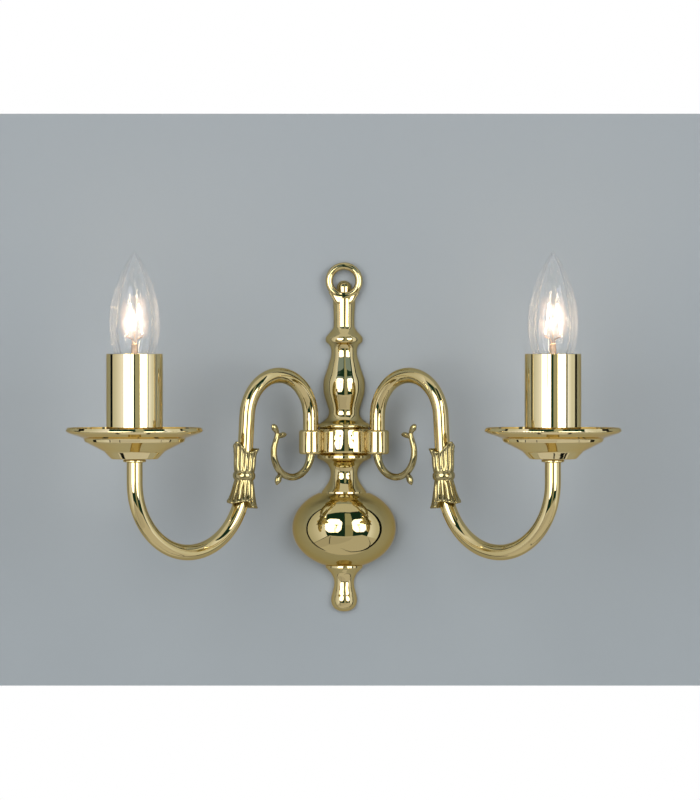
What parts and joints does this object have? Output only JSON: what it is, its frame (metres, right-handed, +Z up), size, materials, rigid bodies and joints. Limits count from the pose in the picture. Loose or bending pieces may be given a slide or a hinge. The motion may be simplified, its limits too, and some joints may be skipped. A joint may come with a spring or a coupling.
{
  "type": "double arm wall sconce",
  "caption": "Polished brass wall light with a half-round baluster body, ring top and two S-shaped arms, each carrying a drip pan, a candle cover and a candle bulb.",
  "frame": {"origin": "on the wall, at the centre of the wall bracket's two fixing slots, which is also the ball's height", "axes": "the wall is the plane y = 0; +Y goes into the wall and the light stands out towards -Y, +X to the right as seen from the room, +Z up"},
  "size_m": [0.3832, 0.1819, 0.2582],
  "materials": {
    "polished_brass": "mirror polished and lacquered",
    "plain_brass": "machined",
    "zinc_steel": "zinc plated",
    "cap_metal": "bright",
    "holder_plastic": "moulded phenolic",
    "terminal_plastic": "moulded",
    "black_glass": "vitreous insulator",
    "clear_glass": "clear blown glass",
    "lead_wire": "drawn wire",
    "filament_wire": "coiled tungsten",
    "flex_sheath": "extruded sheath"
  },
  "bodies": {
    "fixture": {"upper_baluster": "polished_brass", "arm_hub": "polished_brass", "lower_neck": "polished_brass", "half_ball": "polished_brass", "bottom_finial": "polished_brass", "back_strap": "zinc_steel", "casting_screws": "zinc_steel", "wall_bracket": "zinc_steel", "terminal_block": "terminal_plastic", "terminal_screws": "zinc_steel", "earth_screw": "plain_brass", "left_arm_tube": "polished_brass", "left_leaf_sleeve": "polished_brass", "left_leaf_scroll": "polished_brass", "left_arm_end_collar": "polished_brass", "left_arm_nipple": "plain_brass", "left_nipple_nut": "plain_brass", "left_drip_pan": "polished_brass", "left_holder_stirrup": "zinc_steel", "left_holder_body": "holder_plastic", "left_holder_shell": "plain_brass", "left_holder_contact": "plain_brass", "left_arm_wiring": "flex_sheath", "right_arm_tube": "polished_brass", "right_leaf_sleeve": "polished_brass", "right_leaf_scroll": "polished_brass", "right_arm_end_collar": "polished_brass", "right_arm_nipple": "plain_brass", "right_nipple_nut": "plain_brass", "right_drip_pan": "polished_brass", "right_holder_stirrup": "zinc_steel", "right_holder_body": "holder_plastic", "right_holder_shell": "plain_brass", "right_holder_contact": "plain_brass", "right_arm_wiring": "flex_sheath"},
    "left_cover": {"left_candle_cover": "polished_brass"},
    "left_bulb": {"left_bulb_glass": "clear_glass", "left_bulb_cap": "cap_metal", "left_bulb_insulator": "black_glass", "left_bulb_stem": "clear_glass", "left_bulb_leads": "lead_wire", "left_bulb_filament": "filament_wire"},
    "right_cover": {"right_candle_cover": "polished_brass"},
    "right_bulb": {"right_bulb_glass": "clear_glass", "right_bulb_cap": "cap_metal", "right_bulb_insulator": "black_glass", "right_bulb_stem": "clear_glass", "right_bulb_leads": "lead_wire", "right_bulb_filament": "filament_wire"}
  },
  "joints": [
    {"name": "left_cover_lift", "type": "slide", "parent": "fixture", "child": "left_cover", "axis": [0, 0, 1], "range_m": [0, 0.142]},
    {"name": "left_bulb_turn", "type": "hinge", "parent": "fixture", "child": "left_bulb", "pos_m": [-0.14425, -0.13451, 0.1], "axis": [0, 0, 1], "continuous": true},
    {"name": "right_cover_lift", "type": "slide", "parent": "fixture", "child": "right_cover", "axis": [0, 0, 1], "range_m": [0, 0.142]},
    {"name": "right_bulb_turn", "type": "hinge", "parent": "fixture", "child": "right_bulb", "pos_m": [0.14425, -0.13451, 0.1], "axis": [0, 0, 1], "continuous": true}
  ]
}
